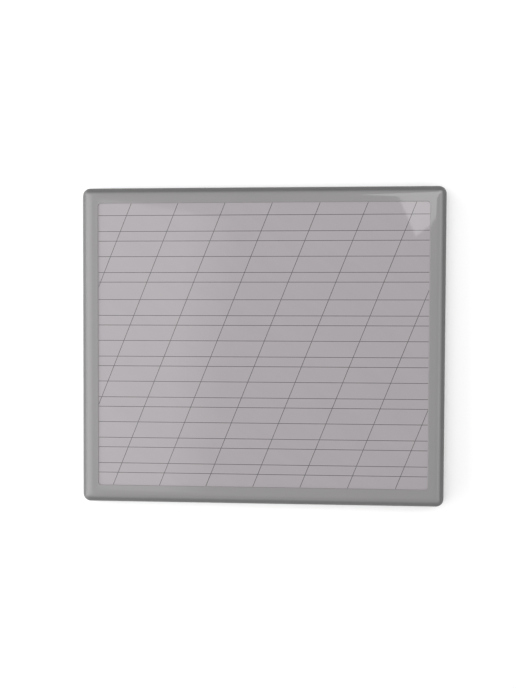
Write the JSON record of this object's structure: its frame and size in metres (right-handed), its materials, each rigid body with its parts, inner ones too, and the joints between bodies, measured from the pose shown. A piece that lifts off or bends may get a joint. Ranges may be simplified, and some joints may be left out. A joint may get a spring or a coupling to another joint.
{
  "type": "magnetic whiteboard",
  "caption": "Small framed magnetic whiteboard for a desk or lap, with printed handwriting lines on a steel writing face and rubber feet under its back cover.",
  "frame": {"origin": "centre of the footprint, on the surface that the feet stand on", "axes": "+X along the width, +Y towards the edge that is uppermost when the board is written on, +Z out of the writing face"},
  "size_m": [0.31, 0.271, 0.0127],
  "materials": {
    "silver_plastic": "satin silver-grey, smooth, faint sheen",
    "white_lacquer": "glossy dry-erase lacquer on steel, pale grey-white",
    "grey_ink": "thin printed grey lines",
    "core_board": "plain light board",
    "grey_plastic": "fine-textured mid grey",
    "zinc_steel": "zinc-plated, slightly dull",
    "black_rubber": "matte black rubber"
  },
  "bodies": {
    "root": {"front_frame": "silver_plastic", "writing_sheet": "white_lacquer", "guideline_print": "grey_ink", "core_board": "core_board", "back_cover": "grey_plastic", "case_screw_1": "zinc_steel", "case_screw_2": "zinc_steel", "case_screw_3": "zinc_steel", "case_screw_4": "zinc_steel", "case_screw_5": "zinc_steel", "case_screw_6": "zinc_steel", "case_screw_7": "zinc_steel", "case_screw_8": "zinc_steel", "case_screw_9": "zinc_steel", "case_screw_10": "zinc_steel", "rubber_foot_1": "black_rubber", "rubber_foot_2": "black_rubber", "rubber_foot_3": "black_rubber", "rubber_foot_4": "black_rubber"}
  },
  "joints": []
}
